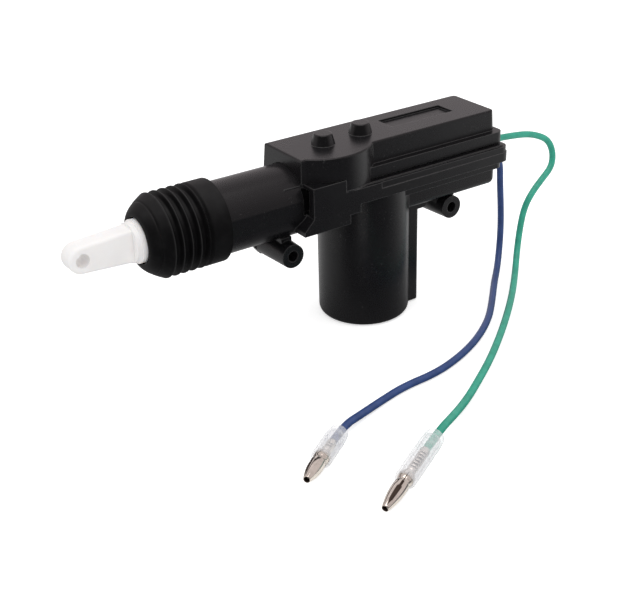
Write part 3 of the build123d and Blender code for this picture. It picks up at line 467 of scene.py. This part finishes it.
class ACTUATOR_OT_bellows(Operator):
    """Make the ribbed rubber bellows over the nose"""

    bl_idname = "actuator.bellows"
    bl_label = "Bellows"

    def execute(self, context):
        # Outside: the lip, a domed front with a crease, ribs as a power of a cosine, and the cuff.
        s = sizes()
        crest = s.crest_radius - 0.0001
        x = np.linspace(LIP, CUFF_END, 300)
        rise = np.clip((x - LIP) / (FIRST_RIB - LIP), 0, 1) ** 0.60
        dome = LIP_RADIUS + (DOME_RADIUS - LIP_RADIUS) * rise
        crease = 0.00022 * np.exp(-(((x - LIP - 0.0028) / 0.00025) ** 2))
        phase = np.cos(2 * np.pi * (x - FIRST_RIB) / s.rib_pitch) * 0.5 + 0.5
        ribs = crest - s.groove_depth * (1 - phase ** 2.4)
        front = smooth_step(x, FIRST_RIB - 0.0004, FIRST_RIB)
        rear = smooth_step(x, RIBS_END, CUFF)
        outer = (1 - front) * (dome - crease) + front * ((1 - rear) * ribs + rear * CUFF_RADIUS)
        outer = np.minimum(outer, LARGEST_RADIUS)
        # The cuff's end and the lip are rounded over. The inside follows at the wall's thickness.
        end = [(-0.05588, 0.01272), (-0.05582, 0.01255), (-0.05582, 0.01150), (-0.0559, CUFF_BORE)]
        back = np.linspace(-0.0600, -0.0796, 60)
        inner = np.clip(np.interp(back, x, outer) - WALL, LIP_HOLE, CUFF_BORE)
        lip = [(-0.08045, LIP_HOLE), (-0.08076, 0.00715), (-0.08078, 0.00750)]
        profile = np.vstack([np.column_stack([x, outer]), end, np.column_stack([back, inner]), lip])

        def mould_seam(distance, angle):
            """A hair-thin flash line down each side of the dome."""
            turn = np.mod(angle - 1.92 + np.pi / 2, np.pi) - np.pi / 2
            return 1 + 0.006 * np.exp(-((turn / 0.02) ** 2)) * (distance < FIRST_RIB - 0.0004)

        piece = turned("bellows_rubber", profile, (0, 0, NOSE_HEIGHT), (1, 0, 0), 192, mould_seam)
        finish = rubber("bellows_rubber", tuple(colours().rubber), crest / MM)
        piece.data.materials.append(finish.material)
        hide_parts("bellows")
        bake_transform(piece)
        return {"FINISHED"}


def wire_curve(name, points, radius):
    """A round wire along a NURBS line with the given control points."""
    curve = bpy.data.curves.new(name, "CURVE")
    curve.dimensions = "3D"
    line = curve.splines.new("NURBS")
    line.points.add(len(points) - 1)
    line.points.foreach_set("co", np.column_stack([points, np.ones(len(points))]).ravel())
    line.order_u = 3
    line.use_endpoint_u = True
    curve.resolution_u = 16
    curve.bevel_depth = radius
    curve.bevel_resolution = 8
    curve.use_fill_caps = True
    piece = bpy.data.objects.new(name, curve)
    bpy.context.scene.collection.objects.link(piece)
    return piece


def sleeve_profile(start, stop, bore):
    """A thin tube with a rounded collar at the wire's end and a faint waist behind the bullet."""
    collar, swell, waist, rounding, grip = 0.00276, 0.00024, 0.00010, 0.00008, 0.00104
    along = np.linspace(start, stop, 60)
    outside = collar + swell * smooth_step(along, start, start + 0.004)
    outside -= waist * np.exp(-(((along - start - 0.0062) / 0.0008) ** 2))
    outside[[0, -1]] -= rounding
    inside = bore - grip * (1 - smooth_step(along, start + 0.0009, start + 0.0017))
    return np.vstack([np.column_stack([along, outside]), np.column_stack([along, inside])[::-1]])


class Bullet:
    """One plated bullet. Distances run from the crimp's start to the tip, angles round its line."""

    CRIMP_RADIUS, TIP_RADIUS, HOLLOW_DEPTH = 0.00150, 0.00098, 0.0030

    def __init__(self, facts, radius, tooth_pitch):
        self.seam, self.barrel, self.tooth_pitch = facts["seam"], radius, tooth_pitch
        self.mouth = facts["sleeve"][1] - facts["wire"]
        self.end = facts["tip"] - facts["wire"]
        self.crimp_end = self.mouth - 0.0030

    def teeth(self, distance):
        """1 in the bottom of each press mark across the crimp and 0 between them."""
        marks = np.cos(2 * np.pi * distance / self.tooth_pitch) * 0.5 + 0.5
        last = smooth_step(distance, self.crimp_end - 0.0012, self.crimp_end - 0.0006)
        return marks ** 2 * smooth_step(distance, 0.0020, 0.0024) * (1 - last)

    def gap(self, distance):
        """Half the angle of the rolled barrel's open seam, which gapes over the nose."""
        gapes = smooth_step(distance, self.mouth + 0.0020, self.mouth + 0.0048)
        closes = smooth_step(distance, self.end - 0.0030, self.end - 0.0004)
        return 0.07 + 0.26 * gapes * (1 - closes)

    def profile(self):
        """A serrated crimp, a step up to the barrel, a groove past the sleeve's mouth, and a nose
        that narrows to its hollow tip by a power of the distance."""
        crimp = np.linspace(0.0005, self.crimp_end, 90)
        nose = np.linspace(self.mouth + 0.0042, self.end, 30)
        share = (nose - nose[0]) / (self.end - nose[0])
        groove = np.array([(-0.0018, 0.0001), (-0.0014, 0), (0.0006, 0), (0.0009, 0.00014),
                           (0.0012, 0.00022), (0.0016, 0.00022), (0.0019, 0.00012), (0.0022, 0)])
        return np.vstack([
            [(0.0, 0.0), (0.0, 0.00135)],
            np.column_stack([crimp, self.CRIMP_RADIUS - 0.0002 * self.teeth(crimp)]),
            [(self.mouth - 0.0024, 0.00160)],
            np.column_stack([self.mouth + groove[:, 0], self.barrel - groove[:, 1]]),
            np.column_stack([nose, self.barrel - (self.barrel - self.TIP_RADIUS) * share ** 1.8]),
            [(self.end, 0.00090), (self.end - 0.0001, 0.00082)],
            [(self.end - self.HOLLOW_DEPTH, 0.00078), (self.end - self.HOLLOW_DEPTH, 0.0)],
        ])

    def rolled(self, distance, angle):
        """A factor on the radius: a dip at the open seam, and the two folded wings of the crimp."""
        dip = np.exp(-(((angle - self.seam) / self.gap(distance)) ** 2))
        seam = 1 - 0.16 * dip * (distance > self.mouth - 0.0024)
        return seam * (1 + 0.08 * np.cos(2 * angle + 0.6) * (distance < self.crimp_end))

    def in_painted_shade(self, distance, angle, radius):
        """True in the hollow, the seam and the press marks, which take a dark finish as painted
        shade.
        """
        hollow = (distance > self.end - 0.0040) & (radius < 0.00086)
        seam = (distance > self.mouth - 0.0010) & (distance < self.end - 0.0006)
        marks = (self.teeth(distance) > 0.35) & (distance < self.crimp_end)
        return (hollow | seam & (np.abs(angle - self.seam) < self.gap(distance))
                | marks & (np.abs(angle + 0.35) < 0.55))


class ACTUATOR_OT_connectors(Operator):
    """Make the wires with their clear sleeves and plated bullets"""

    bl_idname = "actuator.connectors"
    bl_label = "Wires and Connectors"

    def execute(self, context):
        s = sizes()
        plating = metal("bullet_plating", (1.0, 0.93, 0.83), 0.10, 0.22, 0.8, relief=0.004)
        # A dark brown finish that paints shade into the hollow tip, the open seam and the press
        # marks.
        painted_shade = metal("bullet_hollow", (0.10, 0.075, 0.06), 0.5, 0.7)
        clear = clear_vinyl("sleeve_vinyl")
        for colour, facts in CONNECTORS.items():
            base, aim = np.array(facts["base"]), np.array(facts["aim"])
            aim = aim / np.linalg.norm(aim)
            crimp = base + aim * facts["wire"]

            profile = sleeve_profile(*facts["sleeve"], s.sleeve_bore)
            sleeve = turned(f"{colour}_sleeve_vinyl", profile, base, aim, 72)
            finish_piece(sleeve, clear, "housing", "sleeve_clear", f"{colour}_sleeve")

            shape = Bullet(facts, s.bullet_radius, s.tooth_pitch)
            bullet = turned(f"{colour}_bullet_plated", shape.profile(), crimp, aim, 96,
                            shape.rolled, closed_along=False)
            finish_piece(bullet, plating, "housing", "bullet_plated", f"{colour}_bullet")
            bullet.data.materials.append(painted_shade.material)
            centres = np.empty(3 * len(bullet.data.polygons))
            bullet.data.polygons.foreach_get("center", centres)
            out = centres.reshape(-1, 3) - crimp
            distance = out @ aim
            side, up = across(aim)
            angle = np.arctan2(out @ side, out @ up)
            radius = np.linalg.norm(out - distance[:, None] * aim, axis=1)
            # Faces in the hollow, the seam and the press marks get the painted shade.
            dark = shape.in_painted_shade(distance, angle, radius)
            bullet.data.polygons.foreach_set("material_index", dark.astype(int))

            skin = vinyl_skin(f"wire_skin_{colour}", tuple(getattr(colours(), colour)))
            points = np.vstack([facts["route"], base - aim * facts["back"], crimp])
            points[:, 2] = np.maximum(points[:, 2], s.wire_radius)
            wire = wire_curve(f"{colour}_wire_skin", points, s.wire_radius)
            finish_piece(wire, skin, "housing", f"wire_{colour}", f"{colour}_wire")
        return {"FINISHED"}


def seen_and_mirrored(graph):
    """1 on rays from the camera or through clear vinyl, and 1 on rays that glossy surfaces send."""
    path = graph.node("ShaderNodeLightPath").outputs
    return (Value(graph, path["Is Camera Ray"]).step("MAXIMUM", path["Is Transmission Ray"]),
            Value(graph, path["Is Glossy Ray"]))


class ACTUATOR_OT_studio(Operator):
    """Set the camera, the pale floor and the soft lights"""

    bl_idname = "actuator.studio"
    bl_label = "Studio"

    def execute(self, context):
        scene = bpy.context.scene
        camera = bpy.data.objects.new("camera", bpy.data.cameras.new("camera"))
        camera.data.sensor_fit = "HORIZONTAL"
        camera.data.sensor_width = 36.0
        camera.data.lens = 68.0
        camera.data.clip_start = 0.01
        # Degrees: its heading from the -Y side, its height above level, and its tilt.
        turn, rise, roll = np.radians((-33.854, 27.617, -1.554))
        back = np.array([np.sin(turn) * np.cos(rise), -np.cos(turn) * np.cos(rise), np.sin(rise)])
        right = np.cross((0, 0, 1), back)
        right /= np.linalg.norm(right)
        up = np.cross(back, right)
        rolled_right = np.cos(roll) * right + np.sin(roll) * up
        rolled_up = -np.sin(roll) * right + np.cos(roll) * up
        place = np.eye(4)
        place[:3, 0], place[:3, 1], place[:3, 2] = rolled_right, rolled_up, back
        place[:3, 3] = (-0.21419, -0.29275, 0.19064)
        camera.matrix_world = Matrix(place.tolist())
        scene.collection.objects.link(camera)
        scene.camera = camera

        # Floor: white where the camera sees it, with a faint shadow kept from its diffuse share.
        far = 6.0
        mesh = bpy.data.meshes.new("floor")
        mesh.from_pydata([(-far, -far, 0), (far, -far, 0), (far, far, 0), (-far, far, 0)],
                         [], [(0, 1, 2, 3)])
        floor = bpy.data.objects.new("floor", mesh)
        scene.collection.objects.link(floor)
        white = Finish("floor_white", Roughness=0.9, Specular_IOR_Level=0.0,
                       Emission_Color=(1, 1, 1, 1))
        seen, mirrored = seen_and_mirrored(white)
        # In reflections it is dark towards the front left, less so behind the part, and stays pale
        # in a spot round the connectors.
        position = white.node("ShaderNodeNewGeometry").outputs["Position"]
        x, y = white.part(position, "X"), white.part(position, "Y")
        off_x, off_y = x + 0.064, y + 0.083
        away = (off_x * off_x + off_y * off_y).between(0.015 ** 2, 0.030 ** 2)
        before = y.between(0.02, -0.03) * 0.6 + 0.4
        dark = (x * 0.8 + y * 0.6).between(0.11, -0.05) * before * away
        white.base((mirrored * dark).colour((0.86, 0.86, 0.86), (0.075, 0.075, 0.084)))
        white.tree.links.new((seen * 0.55).socket, white.shader.inputs["Emission Strength"])
        mesh.materials.append(white.material)

        world = bpy.data.worlds.new("world")
        scene.world = world
        world.use_nodes = True
        sky = Graph(world.node_tree)
        seen, mirrored = seen_and_mirrored(sky)
        background = sky.tree.nodes["Background"]
        # In reflections the room is a little warm, and dim towards the front left.
        heading = sky.node("ShaderNodeTexCoord").outputs["Generated"]
        x, y = sky.part(heading, "X"), sky.part(heading, "Y")
        front = (x * -0.56 + y * -0.83).between(0.15, 0.75)
        colour = mirrored.colour((1, 1, 1), (1.0, 0.905, 0.925))
        strength = seen * 0.16 - mirrored * (front * 0.46 + 0.30) + 0.84
        sky.tree.links.new(colour, background.inputs["Color"])
        sky.tree.links.new(strength.socket, background.inputs["Strength"])

        for name, place, size, power in (
            ("backdrop", (0.55, 0.95, 0.62), 1.2, 0.5),
            ("overhead", (-0.10, -0.20, 1.00), 0.8, 2.4),
        ):
            lamp = bpy.data.lights.new(name, "AREA")
            lamp.shape = "SQUARE"
            lamp.size = size
            lamp.energy = power
            lamp.color = (1.0, 0.955, 0.96)
            light = bpy.data.objects.new(name, lamp)
            turn = (Vector((0, 0, 0.03)) - Vector(place)).to_track_quat("-Z", "Y")
            light.matrix_world = Matrix.Translation(place) @ turn.to_matrix().to_4x4()
            scene.collection.objects.link(light)
        scene.view_settings.view_transform = "Standard"
        return {"FINISHED"}


class ACTUATOR_PT_panel(Panel):
    """Lists the actuator's steps and their settings"""

    bl_label = "Actuator"
    bl_idname = "ACTUATOR_PT_panel"
    bl_space_type = "VIEW_3D"
    bl_region_type = "UI"
    bl_category = "Actuator"

    def draw(self, context):
        for group in (context.scene.actuator_sizes, context.scene.actuator_colours):
            for key in group.__annotations__:
                self.layout.prop(group, key)
        for operator in OPERATORS:
            self.layout.operator(operator.bl_idname)


OPERATORS = (ACTUATOR_OT_studio, ACTUATOR_OT_finishes, ACTUATOR_OT_bellows, ACTUATOR_OT_connectors)
CLASSES = (ActuatorSizes, ActuatorColours, *OPERATORS, ACTUATOR_PT_panel)


def register():
    for cls in CLASSES:
        bpy.utils.register_class(cls)
    bpy.types.Scene.actuator_sizes = PointerProperty(type=ActuatorSizes)
    bpy.types.Scene.actuator_colours = PointerProperty(type=ActuatorColours)


def unregister():
    del bpy.types.Scene.actuator_colours
    del bpy.types.Scene.actuator_sizes
    for cls in reversed(CLASSES):
        bpy.utils.unregister_class(cls)


def main():
    register()
    bpy.ops.actuator.studio()
    bpy.ops.actuator.finishes()
    bpy.ops.actuator.bellows()
    bpy.ops.actuator.connectors()


if __name__ == "__main__":
    main()
